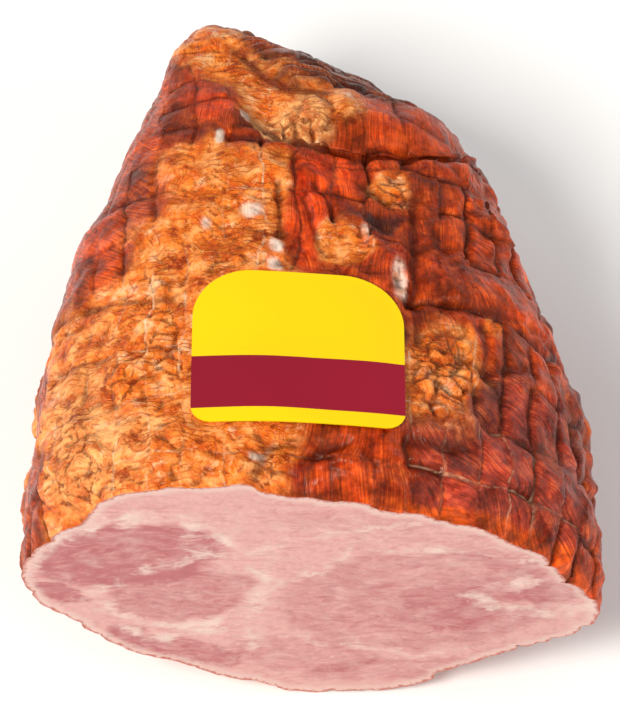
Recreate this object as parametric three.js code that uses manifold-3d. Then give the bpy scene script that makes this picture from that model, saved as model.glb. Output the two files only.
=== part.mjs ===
// Smoked ham: a boneless piece of netted, smoked pork neck, cut square across the middle.
// It lies on its belly with the cut face to the front, and a paper label is stuck on its back.
//
// Frame: millimetres, +Z up. The cut face looks along -Y and the tapered end points along +Y.
// The origin is under the middle of the whole piece, on the surface that it lies on.

import * as THREE from "three";
import { ImprovedNoise } from "three/addons/math/ImprovedNoise.js";
import { mergeVertices } from "three/addons/utils/BufferGeometryUtils.js";
import Module from "manifold-3d";

// Ham: overall sizes.
const cutWidth = 151; // long axis of the cut face
const cutHeight = 105; // short axis of the cut face
const bodyLength = 174; // cut face to the tip of the long side
const cutRoll = 11; // degrees that the long axis of the cut face leans, left side up
const bellySink = 5.5; // how far the belly settles flat under its own weight
const cutSink = 0.8; // the same at the cut face, where the flesh is firmer
const sinkRun = 45; // length over which the belly settles from one to the other

// Ham: how much squarer than an ellipse each quarter of a section is, or how much more pointed.
const cutFullness = { upperRight: -0.03, upperLeft: 0.03, lowerLeft: 0, lowerRight: -0.17 };
const endFullness = 0.12;

// Ham: the end of the muscle, folded over the back.
const foldLip = 4.5; // how far the folded end stands above the back
const foldRun = 36; // length over which the lip sinks back into the body
const foldGroove = 3; // depth of the crease in front of the lip
const creaseWidth = 7; // half width of the crease
const foldStart = 0.4; // share of the fold's height at its left end, where it begins

// Ham: the meat drew in at the cut, so the back rounds down to the upper edge of the cut face.
const edgeDrop = 9; // how far the upper edge is drawn in
const edgeRun = 17; // length over which it is drawn in
const fattyAngle = 128; // degrees round the section to the fat that kept its shape
const fattySpread = 18; // degrees to each side that the fat reaches
const fattyKeep = 0.8; // share of the drop that the fat holds back

// Ham: soft unevenness of the whole surface.
const lumpHeight = 1.6;
const lumpSize = 26;

// Ham: how finely the surface is divided.
const ringCount = 40;
const ringPoints = 76;
const cutRings = 7;

// Label: a paper sticker with rounded corners.
const labelWidth = 52.5;
const labelLength = 48; // along the back
const labelThickness = 0.6;
const labelGap = 0.4; // clearance to the ham
const labelSetback = 17; // from the cut face to the near edge of the label
const labelOffset = -4; // from the middle of the ham, towards the left side
const nearCorner = 5; // corner radius at the near edge
const farCorner = 15; // corner radius at the far edge
const labelSteps = 16; // divisions of the label along each side

const radians = THREE.MathUtils.degToRad;
const smooth = (value, from, to) => THREE.MathUtils.smoothstep(value, from, to);

// --- Ham ---------------------------------------------------------------------------------------

// A guide rail runs from the rim of the cut face to the pole of the far end.
// Its points are shares of half the width, of the length and of the height.
const pole = [0.06, 0.915, 0.52];

function rail(points) {
  const corners = [...points, pole].map(
    ([x, y, z]) => new THREE.Vector3((x * cutWidth) / 2, y * bodyLength, z * cutHeight),
  );
  return new THREE.CatmullRomCurve3(corners, false, "centripetal");
}

const leftRail = rail([
  [-1, 0, 0.53],
  [-0.985, 0.12, 0.53],
  [-0.95, 0.31, 0.54],
  [-0.87, 0.485, 0.55],
  [-0.69, 0.69, 0.57],
  [-0.56, 0.84, 0.58],
  [-0.49, 0.93, 0.58],
  [-0.44, 0.98, 0.57],
  [-0.35, 1, 0.56],
  [-0.22, 0.985, 0.55],
  [-0.1, 0.95, 0.53],
]);

const rightRail = rail([
  [1, 0, 0.56],
  [0.985, 0.12, 0.55],
  [0.94, 0.3, 0.54],
  [0.775, 0.49, 0.54],
  [0.67, 0.64, 0.54],
  [0.575, 0.77, 0.54],
  [0.41, 0.815, 0.54],
  [0.2, 0.885, 0.53],
]);

const crownRail = rail([
  [0, 0, 1],
  [0, 0.24, 0.99],
  [-0.01, 0.45, 0.94],
  [-0.02, 0.62, 0.88],
  [-0.02, 0.75, 0.81],
  [0, 0.85, 0.7],
]);

const keelRail = rail([
  [0.16, 0, 0],
  [0.14, 0.25, 0],
  [0.1, 0.5, 0.01],
  [0.06, 0.7, 0.06],
  [0.05, 0.84, 0.2],
  [0.06, 0.89, 0.36],
]);

// The fullness of a section at an angle. It only shows between the ends of the section's two axes.
function fullnessAt(share, angle) {
  const { upperRight, upperLeft, lowerLeft, lowerRight } = cutFullness;
  const upper = Math.cos(angle) > 0 ? upperRight : upperLeft;
  const lower = Math.cos(angle) > 0 ? lowerRight : lowerLeft;
  const atCut = Math.sin(angle) > 0 ? upper : lower;
  return THREE.MathUtils.lerp(atCut, endFullness, share) * Math.sin(2 * angle) ** 2;
}

// The point of a ring that lies share of the way along the rails, at an angle round the section.
// Angle 0 is the right side and a quarter turn is the crown.
function loftPoint(share, angle) {
  const left = leftRail.getPointAt(share);
  const right = rightRail.getPointAt(share);
  const crown = crownRail.getPointAt(share);
  const keel = keelRail.getPointAt(share);
  const sideMiddle = left.clone().lerp(right, 0.5);
  const heightMiddle = crown.clone().lerp(keel, 0.5);
  const full = 1 + fullnessAt(share, angle);
  const across = full * Math.cos(angle);
  const up = full * Math.sin(angle);
  return sideMiddle
    .clone()
    .addScaledVector(right.sub(sideMiddle), across)
    .addScaledVector(crown.sub(heightMiddle), up)
    .addScaledVector(heightMiddle.sub(sideMiddle), up * up);
}

// The folded end starts at this line across the back, in the same shares as the rails.
const foldLine = [
  [-0.62, 1.06],
  [-0.4, 0.93],
  [-0.28, 0.82],
  [-0.08, 0.715],
  [0.16, 0.69],
  [0.38, 0.7],
  [0.56, 0.75],
  [0.8, 0.84],
].map(([x, y]) => new THREE.Vector2((x * cutWidth) / 2, y * bodyLength));
const foldPoints = new THREE.SplineCurve(foldLine).getPoints(60);

// The nearest place on the fold line in plan: the distance to it, positive on the far side, where
// the lip is, and its share of the way along the line from the left end.
function nearestFold(point) {
  const here = new THREE.Vector2(point.x, point.y);
  let nearest = Infinity;
  let side = 1;
  let along = 0;
  foldPoints.slice(1).forEach((end, i) => {
    const start = foldPoints[i];
    const step = end.clone().sub(start);
    const offset = here.clone().sub(start);
    const share = THREE.MathUtils.clamp(offset.dot(step) / step.lengthSq(), 0, 1);
    const distance = offset.clone().addScaledVector(step, -share).length();
    if (distance < nearest) {
      nearest = distance;
      side = step.cross(offset) < 0 ? -1 : 1;
      along = i / foldPoints.length;
    }
  });
  return { distance: side * nearest, along };
}

// How far the folded end lifts a point, or its crease lowers it. The underside has no fold.
function foldHeight(point) {
  const { distance, along } = nearestFold(point);
  const lip = smooth(distance, 0, creaseWidth) * (1 - smooth(distance, creaseWidth, foldRun));
  const crease = Math.exp(-((distance / creaseWidth) ** 2));
  const backOnly = smooth(point.z, 0.4 * cutHeight, 0.75 * cutHeight);
  const strength = THREE.MathUtils.lerp(foldStart, 1, smooth(along, 0.1, 0.4));
  return backOnly * strength * (foldLip * lip - foldGroove * crease);
}

// How far the surface is drawn in towards the edge of the cut. The underside isn't.
function edgeInset(along, angle) {
  const upper = smooth(Math.sin(angle), -0.2, 0.35);
  const fatty = Math.exp(-(((THREE.MathUtils.radToDeg(angle) - fattyAngle) / fattySpread) ** 2));
  const near = 1 - Math.min(along / edgeRun, 1);
  return edgeDrop * upper * (1 - fattyKeep * fatty) * (1 - Math.sqrt(1 - near ** 2));
}

const noise = new ImprovedNoise();
const lump = (p) => lumpHeight * noise.noise(p.x / lumpSize, p.y / lumpSize, p.z / lumpSize);

// The outline of the cut face leans; the lean fades out towards the far end.
function rolled(point) {
  const fade = 1 - smooth(point.y, 0, bodyLength);
  const centre = cutHeight / 2;
  const middle = new THREE.Vector3(0, point.y, centre);
  return point.clone().sub(middle).applyAxisAngle(new THREE.Vector3(0, 1, 0), radians(cutRoll) * fade).add(middle);
}

// Rings of surface points, with the folds and lumps pushed out along the surface normal.
function surfaceRings() {
  const shareStep = 0.004;
  const angleStep = 0.02;
  const rings = [];
  for (let ring = 0; ring < ringCount; ring++) {
    const share = ring / ringCount;
    const row = [];
    for (let i = 0; i < ringPoints; i++) {
      const angle = (2 * Math.PI * i) / ringPoints;
      const base = loftPoint(share, angle);
      const along = loftPoint(share + shareStep, angle).sub(base);
      const round = loftPoint(share, angle + angleStep).sub(base);
      const normal = along.cross(round).normalize();
      if (ring === 0) normal.setY(0).normalize(); // the rim stays in the plane of the cut
      const rise = foldHeight(base) + lump(base) - edgeInset(base.y, angle);
      row.push(rolled(base.addScaledVector(normal, rise)));
    }
    rings.push(row);
  }
  return rings;
}

// The lowest point of the rolled body lies under the surface by the sink, and is pressed flat on it.
function settled(rings) {
  const lowest = Math.min(...rings[0].map((point) => point.z));
  for (const point of rings.flat()) {
    const sink = THREE.MathUtils.lerp(cutSink, bellySink, smooth(point.y, 0, sinkRun));
    point.z = Math.max(0, point.z - lowest - sink);
  }
  return rings;
}

// The whole closed surface: the flat cut face as rings about its middle, the body, and the far pole.
function hamGeometry() {
  const body = settled(surfaceRings());
  const rim = body[0];
  const middle = rim.reduce((sum, point) => sum.add(point), new THREE.Vector3()).divideScalar(rim.length);
  const cut = [];
  for (let ring = 1; ring < cutRings; ring++) {
    cut.push(rim.map((point) => middle.clone().lerp(point, ring / cutRings)));
  }
  const farRing = body[body.length - 1];
  const farPole = farRing.reduce((sum, point) => sum.add(point), new THREE.Vector3()).divideScalar(farRing.length);

  const rings = [...cut, ...body];
  const points = [middle, ...rings.flat(), farPole];
  const first = (ring) => 1 + ring * ringPoints;
  const faces = [];
  for (let i = 0; i < ringPoints; i++) {
    const next = (i + 1) % ringPoints;
    faces.push(0, first(0) + i, first(0) + next);
    for (let ring = 0; ring < rings.length - 1; ring++) {
      const near = first(ring);
      const far = first(ring + 1);
      faces.push(near + i, far + i, far + next, near + i, far + next, near + next);
    }
    const last = first(rings.length - 1);
    faces.push(last + i, points.length - 1, last + next);
  }
  const geometry = new THREE.BufferGeometry().setFromPoints(points).setIndex(faces);
  geometry.computeVertexNormals();
  return geometry;
}

// --- Label -------------------------------------------------------------------------------------

// The outline, seen from above: small corners towards the cut face, large ones towards the far end.
function labelOutline() {
  const half = labelWidth / 2;
  const outline = new THREE.Shape();
  outline.moveTo(-half + nearCorner, 0);
  outline.absarc(half - nearCorner, nearCorner, nearCorner, -Math.PI / 2, 0);
  outline.absarc(half - farCorner, labelLength - farCorner, farCorner, 0, Math.PI / 2);
  outline.absarc(-half + farCorner, labelLength - farCorner, farCorner, Math.PI / 2, Math.PI);
  outline.absarc(-half + nearCorner, nearCorner, nearCorner, Math.PI, 1.5 * Math.PI);
  return outline;
}

// Height of the ham's back under a point, seen from above.
function backHeight(hamMesh, x, y) {
  const above = 2 * cutHeight;
  const ray = new THREE.Raycaster(new THREE.Vector3(x, y, above), new THREE.Vector3(0, 0, -1));
  return above - ray.intersectObject(hamMesh)[0].distance;
}

// A sheet one label thick that follows the back, a little larger all round than the label.
function backSheet(hamMesh, nearEdge) {
  const margin = 2;
  const width = labelWidth + 2 * margin;
  const length = labelLength + 2 * margin;
  const columns = labelSteps + 1;
  const lower = [];
  for (let row = 0; row < columns; row++) {
    for (let column = 0; column < columns; column++) {
      const x = labelOffset - width / 2 + (width * column) / labelSteps;
      const y = nearEdge - margin + (length * row) / labelSteps;
      lower.push(new THREE.Vector3(x, y, backHeight(hamMesh, x, y) + labelGap));
    }
  }
  const upper = lower.map((point) => point.clone().setZ(point.z + labelThickness));
  const top = lower.length;
  const faces = [];
  const quad = (a, b, c, d) => faces.push(a, b, c, a, c, d);
  for (let row = 0; row < labelSteps; row++) {
    for (let column = 0; column < labelSteps; column++) {
      const corner = row * columns + column;
      quad(corner, corner + columns, corner + columns + 1, corner + 1);
      quad(top + corner, top + corner + 1, top + corner + columns + 1, top + corner + columns);
    }
  }
  for (let i = 0; i < labelSteps; i++) {
    const left = i * columns;
    const right = left + labelSteps;
    const far = labelSteps * columns + i;
    quad(i, i + 1, top + i + 1, top + i);
    quad(right, right + columns, top + right + columns, top + right);
    quad(far + 1, far, top + far, top + far + 1);
    quad(left + columns, left, top + left, top + left + columns);
  }
  return new THREE.BufferGeometry().setFromPoints([...lower, ...upper]).setIndex(faces);
}

const wasm = await Module();
wasm.setup();

function toSolid(geometry) {
  const bare = geometry.clone();
  bare.deleteAttribute("normal");
  bare.deleteAttribute("uv");
  const merged = mergeVertices(bare, 1e-4);
  const vertProperties = merged.attributes.position.array;
  const triVerts = new Uint32Array(merged.index.array);
  return new wasm.Manifold(new wasm.Mesh({ numProp: 3, vertProperties, triVerts }));
}

function toGeometry(solid) {
  const { vertProperties, triVerts } = solid.getMesh();
  const geometry = new THREE.BufferGeometry();
  geometry.setAttribute("position", new THREE.BufferAttribute(vertProperties, 3));
  geometry.setIndex(new THREE.BufferAttribute(triVerts, 1));
  geometry.computeVertexNormals();
  return geometry;
}

// The label is cut out of the sheet by its outline, pushed straight through from below.
function labelGeometry(hamMesh) {
  const nearEdge = hamMesh.geometry.boundingBox.min.y + labelSetback;
  const depth = 3 * cutHeight;
  const cutter = new THREE.ExtrudeGeometry(labelOutline(), { depth, bevelEnabled: false, curveSegments: 8 });
  cutter.translate(labelOffset, nearEdge, -cutHeight);
  return toGeometry(toSolid(backSheet(hamMesh, nearEdge)).intersect(toSolid(cutter)));
}

// --- Part --------------------------------------------------------------------------------------

const smokedMeat = new THREE.MeshStandardMaterial({ color: 0xb05a2c, roughness: 0.45, metalness: 0 });
const labelPaper = new THREE.MeshStandardMaterial({ color: 0xf5d90a, roughness: 0.5, metalness: 0 });

const ham = new THREE.Mesh(hamGeometry(), smokedMeat);
ham.name = "ham";

// The origin goes under the middle of the piece.
ham.geometry.computeBoundingBox();
const middle = ham.geometry.boundingBox.getCenter(new THREE.Vector3());
ham.geometry.translate(-middle.x, -middle.y, 0);
ham.geometry.computeBoundingBox();
ham.updateMatrixWorld();

const label = new THREE.Mesh(labelGeometry(ham), labelPaper);
label.name = "label";

const part = new THREE.Group();
part.add(ham, label);

export default part;
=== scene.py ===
"""Smoked ham: a boneless piece of netted, smoked pork with a flat cut face and a paper label.

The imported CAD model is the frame. This script makes the meat's fine surface, its materials, the
label and the stage around it. Arrays are in millimetres, and Blender objects are in metres.
"""

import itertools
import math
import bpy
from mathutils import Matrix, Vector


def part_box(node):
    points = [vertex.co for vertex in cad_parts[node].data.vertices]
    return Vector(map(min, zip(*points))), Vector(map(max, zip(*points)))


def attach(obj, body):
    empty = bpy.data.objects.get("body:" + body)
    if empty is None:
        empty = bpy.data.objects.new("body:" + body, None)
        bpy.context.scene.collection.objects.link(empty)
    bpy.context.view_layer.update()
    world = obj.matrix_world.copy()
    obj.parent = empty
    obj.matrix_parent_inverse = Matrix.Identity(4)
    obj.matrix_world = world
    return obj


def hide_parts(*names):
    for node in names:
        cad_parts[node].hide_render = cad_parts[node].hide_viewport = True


bl_info = {
    "name": "Smoked ham",
    "version": (1, 0, 0),
    "blender": (4, 5, 0),
    "location": "View3D > Sidebar > Smoked ham",
    "description": "Makes a netted smoked ham with its label, and a plain stage",
    "category": "Object",
}

from functools import partial

import bmesh
import bpy
import numpy as np
from bpy.props import FloatProperty, FloatVectorProperty, IntProperty, PointerProperty
from mathutils import Vector
from mathutils.bvhtree import BVHTree

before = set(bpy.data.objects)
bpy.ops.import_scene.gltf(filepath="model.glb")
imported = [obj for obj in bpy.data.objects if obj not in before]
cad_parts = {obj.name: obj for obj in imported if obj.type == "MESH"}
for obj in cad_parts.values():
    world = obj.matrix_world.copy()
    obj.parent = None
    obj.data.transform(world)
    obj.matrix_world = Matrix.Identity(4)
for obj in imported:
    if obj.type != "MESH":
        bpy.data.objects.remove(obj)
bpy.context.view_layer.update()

MM = 0.001


def linear(code):
    """The linear colour of an sRGB hex code."""
    parts = [int(code[i : i + 2], 16) / 255 for i in (0, 2, 4)]
    return tuple(p / 12.92 if p <= 0.04045 else ((p + 0.055) / 1.055) ** 2.4 for p in parts)


def colour(code, name, description):
    """A colour property that starts from an sRGB hex code."""
    return FloatVectorProperty(
        name=name, description=description, subtype="COLOR", size=3, min=0, max=1, default=linear(code)
    )


def length(millimetres, name, description):
    """A length property that starts from a size in millimetres."""
    return FloatProperty(
        name=name, description=description, unit="LENGTH", min=0, default=millimetres * MM
    )


# --- Sizes and colours --------------------------------------------------------------------------


class SmokedHamSizes(bpy.types.PropertyGroup):
    """Sizes of the meat's surface and of the label."""

    subdivisions: IntProperty(
        name="Subdivisions", description="How often the CAD mesh is divided", default=3, min=1, max=4
    )
    net_length: length(17.8, "Net cell length", "From one hoop of the net to the next")
    net_width: length(9.3, "Net cell width", "From one rib of the net to the next")
    pillow_height: length(1.7, "Pillow height", "How far lean meat bulges between the cords of the net")
    clump_size: length(11, "Clump size", "Size of the clumps in the fat")
    clump_height: length(2.2, "Clump height", "How far the clumps stand out")
    wrinkle_spacing: length(3.4, "Wrinkle spacing", "From one wrinkle of the fat to the next")
    wrinkle_height: length(0.45, "Wrinkle height", "Height of the wrinkles in the fat")
    fold_overhang: length(4.5, "Fold overhang", "How far the folded end hangs over its crease")
    label_thickness: length(0.3, "Label thickness", "Thickness of the label's paper")


class SmokedHamColours(bpy.types.PropertyGroup):
    """Colours of the smoked surface, the cut face and the label."""

    golden_fat: colour("EA7E2A", "Golden fat", "Fat that smoke has turned golden")
    peach_fat: colour("F6AE6A", "Peach fat", "Thicker fat, less smoked")
    pale_fat: colour("F6E0CE", "Pale fat", "Bits of fat that the smoke hardly reached")
    red_lean: colour("C63C0C", "Red lean", "Bare lean meat, wet and bright")
    orange_lean: colour("A63A12", "Orange lean", "Lean meat under a thin film of fat")
    brown_lean: colour("B23C10", "Brown lean", "Lean meat, well smoked")
    purple_lean: colour("983424", "Purple lean", "The darkest lean meat")
    end_brown: colour("7C3620", "End brown", "The dry end of the muscle")
    # Rim crust glow: the crust's own orange beside the cut, partly painted light shining through the thin
    # edge.
    rim_orange: colour("C4480E", "Rim orange", "The crust beside the cut, lit through")
    # Hollow shade: painted shade for the deepest hollows and creases, not a colour of the meat itself.
    hollow: colour("54241F", "Hollow", "Deep hollows, where the smoke gathered")
    # Crease: dark red-brown used for the painted shade in creases and hollows, and also for real smudges on
    # the fat.
    crease: colour("4A1206", "Crease", "Meat juice dried in the creases")
    strand: colour("EFC49A", "Net print", "Pale lines that the net left on the fat")
    flesh: colour("CD9791", "Flesh", "Cured meat on the cut face")
    flesh_deep: colour("A85659", "Deep flesh", "The darker muscles on the cut face")
    flesh_fat: colour("D8BEB2", "Seam fat", "Fat between the muscles")
    paper: colour("F0CE00", "Label yellow", "The label's ground")
    band: colour("8F0F28", "Label band", "The band printed across the label")


# --- Numbers ------------------------------------------------------------------------------------


def chance(cells, seed):
    """A repeatable number from 0 to 1 for each row of whole numbers."""
    primes = np.array([73856093, 19349663, 83492791])[: cells.shape[1]]
    mixed = ((cells.astype(np.int64) * primes).sum(1) + seed * 1013904223) & 0xFFFFFFFF
    for _ in range(2):
        mixed = ((mixed ^ (mixed >> 16)) * 0x45D9F3B) & 0xFFFFFFFF
    return ((mixed ^ (mixed >> 16)) & 0xFFFFFF) / 0xFFFFFF


def chances(cells, seed):
    """Three such numbers for each row."""
    return np.stack([chance(cells, 7 * seed + axis) for axis in range(3)], 1)


def cloud(points, size, seed):
    """Smooth noise from about -1 to 1, with lumps of this size."""
    scaled = points / size
    cell = np.floor(scaled)
    part = scaled - cell
    fade = part**3 * (part * (part * 6 - 15) + 10)
    total = np.zeros(len(points))
    for corner in itertools.product((0, 1), repeat=3):
        slopes = chances(cell + corner, seed) * 2 - 1
        weight = np.where(corner, fade, 1 - fade).prod(1)
        total += weight * ((part - corner) * slopes).sum(1)
    return total * 1.8


def clumps(points, size, seed):
    """Distance to the nearest of scattered centres, and how much further the next one is."""
    scaled = points / size
    cell = np.floor(scaled)
    first = np.full(len(points), 9.0)
    second = first.copy()
    for corner in itertools.product((-1, 0, 1), repeat=3):
        centre = cell + corner + 0.1 + 0.8 * chances(cell + corner, seed)
        distance = np.linalg.norm(scaled - centre, axis=1)
        second = np.minimum(second, np.maximum(first, distance))
        first = np.minimum(first, distance)
    return first * size, (second - first) * size


def ramp(values, low, high):
    """0 below low, 1 above high, and smooth between them."""
    share = np.clip((values - low) / (high - low), 0, 1)
    return share * share * (3 - 2 * share)


def bell(values, width):
    """1 at zero, falling away on both sides."""
    return np.exp(-((values / width) ** 2))


def curved(corners, steps=8):
    """A smooth line through corner points (Catmull-Rom)."""
    corners = np.array(corners, float)
    padded = np.vstack([2 * corners[0] - corners[1], corners, 2 * corners[-1] - corners[-2]])
    line = []
    for a, b, c, d in zip(padded, padded[1:], padded[2:], padded[3:]):
        for t in np.arange(steps) / steps:
            line.append(
                0.5
                * (
                    2 * b
                    + (c - a) * t
                    + (2 * a - 5 * b + 4 * c - d) * t**2
                    + (3 * b - a - 3 * c + d) * t**3
                )
            )
    return np.array(line + [corners[-1]])


def line_distance(points, line):
    """Distance from each point to a line of straight stretches."""
    nearest = np.full(len(points), np.inf)
    for start, end in zip(line, line[1:]):
        step = end - start
        share = np.clip((points - start) @ step / (step @ step), 0, 1)
        nearest = np.minimum(nearest, np.linalg.norm(points - start - share[:, None] * step, axis=1))
    return nearest


# --- The meat's surface -------------------------------------------------------------------------

# The net, in mm: where its first hoop and rib lie, where it starts to tighten towards the far end
# (by how much is in cells per square mm), how far its cords wander and over what lengths, and the
# half widths of its grooves.
FIRST_HOOP = 8.6
FIRST_RIB = -4.0
TIGHTER_FROM = 80
TIGHTENING = 0.00044
CORD_WANDER = 1.9
BROAD_WANDER, CLOSE_WANDER = 16, 6
HOOP_GROOVE, RIB_GROOVE = 0.9, 0.7

# Depths and heights of the surface, in mm: the net's grooves, the fat's lobes and the painted shade in
# what parts them, the crease under the fold and the painted shade in it, how far the label presses in,
# and how far the whole surface is set back, so that its bumps stay near the CAD solid.
GROOVE_DEPTH = 0.9
LOBE_HEIGHT, LOBE_CREASE = 1.8, 1.6
FOLD_CREASE, FOLD_SHADE = 2.4, 1.6
LABEL_PRESS = 0.25
SETBACK = 2.2

# Patches of one finish: how square their outline is, how steep their edge is, and how far the
# strongest finish at a point outdoes the others.
PATCH_SQUARENESS, PATCH_STEEPNESS = 2.7, 1.2
FINISH_CONTRAST = 5

# The folded end: where its edge lies, seen from above, as x and distance from the cut, in mm.
FOLD_EDGE = curved(
    [(-32, 160), (-22, 144), (-15, 129), (-8, 120), (2, 118), (16, 117), (28, 119), (40, 124), (58, 142)]
)

# Patches of one finish on the back, seen from above: finish, x and distance from the cut, half
# width and half length in mm, and how firmly the patch holds its own against its neighbours.
PATCHES = (
    # The fat side, on the left.
    ("golden_fat", -52, 34, 30, 44, 1.3),
    ("peach_fat", -60, 26, 14, 30, 1.0),
    ("peach_fat", -40, 12, 20, 16, 1.1),
    ("golden_fat", -30, 42, 14, 40, 1.2),
    ("orange_lean", -60, 92, 20, 28, 1.7),
    ("brown_lean", -58, 84, 12, 16, 1.9),
    ("orange_lean", -78, 30, 7, 70, 1.2),
    # The fat column in front of the fold.
    ("golden_fat", -22, 84, 16, 30, 1.4),
    ("golden_fat", -20, 106, 14, 8, 1.3),
    ("brown_lean", -14, 113, 8, 4, 2.0),
    # Painted shade in the hollow under the left of the fold's lip.
    ("hollow", -15, 113, 3.4, 2.2, 2.9),
    ("pale_fat", -15.5, 88, 4.2, 3.8, 3.4),
    ("pale_fat", -27.6, 82.6, 1.8, 3, 3.0),
    ("pale_fat", -9.8, 76, 2, 2.6, 3.2),
    ("pale_fat", -10, 69.5, 2.2, 2.6, 3.2),
    ("pale_fat", -24, 115, 1.3, 2.6, 2.2),
    # The bare red panel, with a golden square, and painted shade in the dent beside it.
    ("red_lean", -3, 82, 5.5, 14, 2.6),
    ("red_lean", 4, 103, 10, 11, 2.4),
    ("brown_lean", 15, 111, 6, 4, 2.0),
    ("golden_fat", 7.8, 78.5, 5.6, 6, 4.6),
    ("pale_fat", 12.8, 80, 1.4, 4.5, 3.4),
    # Painted shade in the dent beside the golden square.
    ("hollow", 18, 86, 4.2, 3.6, 3.4),
    ("golden_fat", 20, 103, 4.6, 8, 2.4),
    ("pale_fat", 22, 68, 2.2, 7, 2.2),
    # The lean side, on the right.
    ("brown_lean", 42, 84, 30, 36, 1.8),
    ("purple_lean", 66, 70, 12, 60, 1.2),
    ("golden_fat", 39, 52, 3, 4, 2.6),
    ("golden_fat", 46, 60, 2.5, 3, 2.4),
    ("golden_fat", 31, 38, 11, 19, 2.4),
    ("peach_fat", 29, 33, 7, 12, 1.8),
    ("purple_lean", 46, 18, 30, 28, 2.2),
    ("brown_lean", 76, 50, 12, 50, 1.6),
    ("orange_lean", 60, 26, 6, 7, 2.2),
    ("orange_lean", 66, 44, 4, 12, 1.6),
    # In front of the label, and the crust along the cut, with painted light shining through it.
    ("brown_lean", 10, 10, 17, 8, 2.2),
    ("red_lean", 0, 5, 7, 5, 2.2),
    ("red_lean", 16, 12, 4, 5, 2.0),
    ("golden_fat", -6, 14, 10, 8, 1.4),
    ("pale_fat", -14, 8, 2.4, 1.6, 2.6),
    ("rim_orange", 26, 0, 14, 2.0, 3.0),
    ("rim_orange", 44, 0, 12, 2.4, 3.2),
    ("rim_orange", 60, 0, 12, 2.8, 3.2),
    # The folded end.
    ("golden_fat", -31, 156, 9, 9, 2.4),
    ("golden_fat", -24, 146, 7, 9, 2.6),
    ("golden_fat", -15, 136, 8, 9, 2.4),
    ("peach_fat", -5, 127, 9, 8, 2.6),
    ("golden_fat", 6, 131, 9, 6, 1.8),
    ("orange_lean", -48, 136, 20, 18, 2.8),
    ("red_lean", -27, 136, 9, 11, 3.2),
    ("peach_fat", -1, 129, 6, 5, 3.0),
    ("end_brown", 38, 128, 12, 7, 1.6),
    ("brown_lean", 30, 130, 18, 9, 2.6),
    ("brown_lean", 24, 122, 24, 6, 2.2),
    ("red_lean", 12, 119, 7, 4, 2.0),
    ("pale_fat", -17, 126, 1.5, 3, 2.8),
    ("end_brown", 8, 160, 34, 22, 1.9),
)
FAT = ("golden_fat", "peach_fat", "pale_fat")

# Creases on the back, seen from above: width and depth, then the x and distance from the cut of
# each point. All in mm. The depth sets both the dip and the shade painted into it.
CREASES = (
    (1.3, 1.8, ((26, 97), (26, 78), (26, 61), (26, 48))),
    (1.0, 1.2, ((20, 60), (28, 61), (39, 63.5), (52, 65), (62, 66))),
    (1.0, 1.2, ((26, 80), (34, 84), (44, 85), (56, 86))),
    (1.2, 1.6, ((43, 57), (44, 50), (44, 42))),
    (1.1, 1.3, ((36, 46), (44, 45), (54, 50))),
    (0.8, 1.6, ((-9, 98), (-8.6, 90), (-8.6, 80))),
    (0.8, 1.2, ((-2.6, 94), (-0.6, 86), (2.4, 76))),
    (0.8, 1.2, ((0.5, 99), (4, 93), (5, 86))),
    (0.8, 1.0, ((2, 134), (5, 130), (3.4, 126), (-1, 124.6), (-5, 127.5), (-4, 131.5))),
    (2.4, 1.5, ((-21, 156), (-17, 150), (-12, 144), (-5, 138), (3, 136))),
    (1.6, 2.0, ((-22, 116), (-14, 115), (-6, 116))),
    (1.4, 1.8, ((14, 101), (20, 97), (27, 99))),
    (1.6, 1.8, ((20, 19), (28, 15), (38, 18))),
    (1.3, 1.4, ((-14, 3), (-12, 9), (-6, 12))),
    (1.3, 1.4, ((-2, 2), (1, 9), (8, 13))),
    (1.2, 1.2, ((-58, 62), (-46, 60), (-36, 58))),
    (1.2, 1.2, ((40, 97), (46, 108), (47, 118))),
)

# Swellings and dents on the back, seen from above: x, distance from the cut, half width, half
# length and height. All in mm.
SWELLINGS = (
    (8, 154, 22, 10, 4.5),
    (18, 88, 4, 4, -2.6),
    (31, 38, 10, 17, 1.6),
    (9, 83, 5, 5, 1.0),
    (24, 126, 20, 6, 2.2),
    (4, 131, 8, 6, 1.6),
    (-19, 1, 5, 6, 4.5),
)

# Fat in rounded lobes on the back, seen from above: x, distance from the cut, half width and half
# length. All in mm.
LOBES = ((31, 38, 12, 19), (-5, 123, 13, 7), (22, 101, 6, 9))


def read(collection, name, width, kind=float):
    """A mesh's values as an array with one row for each element."""
    values = np.empty(len(collection) * width, kind)
    collection.foreach_get(name, values)
    return values.reshape(-1, width)


def divided_mesh(node, levels):
    """The CAD node's mesh in quads, divided and rounded, with the edge of the cut kept sharp."""
    mesh = bpy.data.meshes.new("divided")
    shape = bmesh.new()
    shape.from_mesh(node.data)
    bmesh.ops.remove_doubles(shape, verts=shape.verts, dist=0.01 * MM)
    front = min(vertex.co.y for vertex in shape.verts)
    shape.normal_update()

    def on_cut(face):
        return face.normal.y < -0.99 and abs(face.calc_center_median().y - front) < 0.01 * MM

    sharp = shape.edges.layers.float.new("crease_edge")
    for edge in shape.edges:
        edge[sharp] = float(len({on_cut(face) for face in edge.link_faces}) == 2)
    bmesh.ops.join_triangles(
        shape,
        faces=shape.faces,
        angle_face_threshold=math.pi,
        angle_shape_threshold=math.pi,
    )
    shape.to_mesh(mesh)
    shape.free()
    piece = bpy.data.objects.new("divided", mesh)
    bpy.context.scene.collection.objects.link(piece)
    rounding = piece.modifiers.new("Rounding", "SUBSURF")
    rounding.levels = rounding.render_levels = levels
    done = bpy.data.meshes.new_from_object(piece.evaluated_get(bpy.context.evaluated_depsgraph_get()))
    bpy.data.objects.remove(piece)
    bpy.data.meshes.remove(mesh)
    return done


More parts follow.
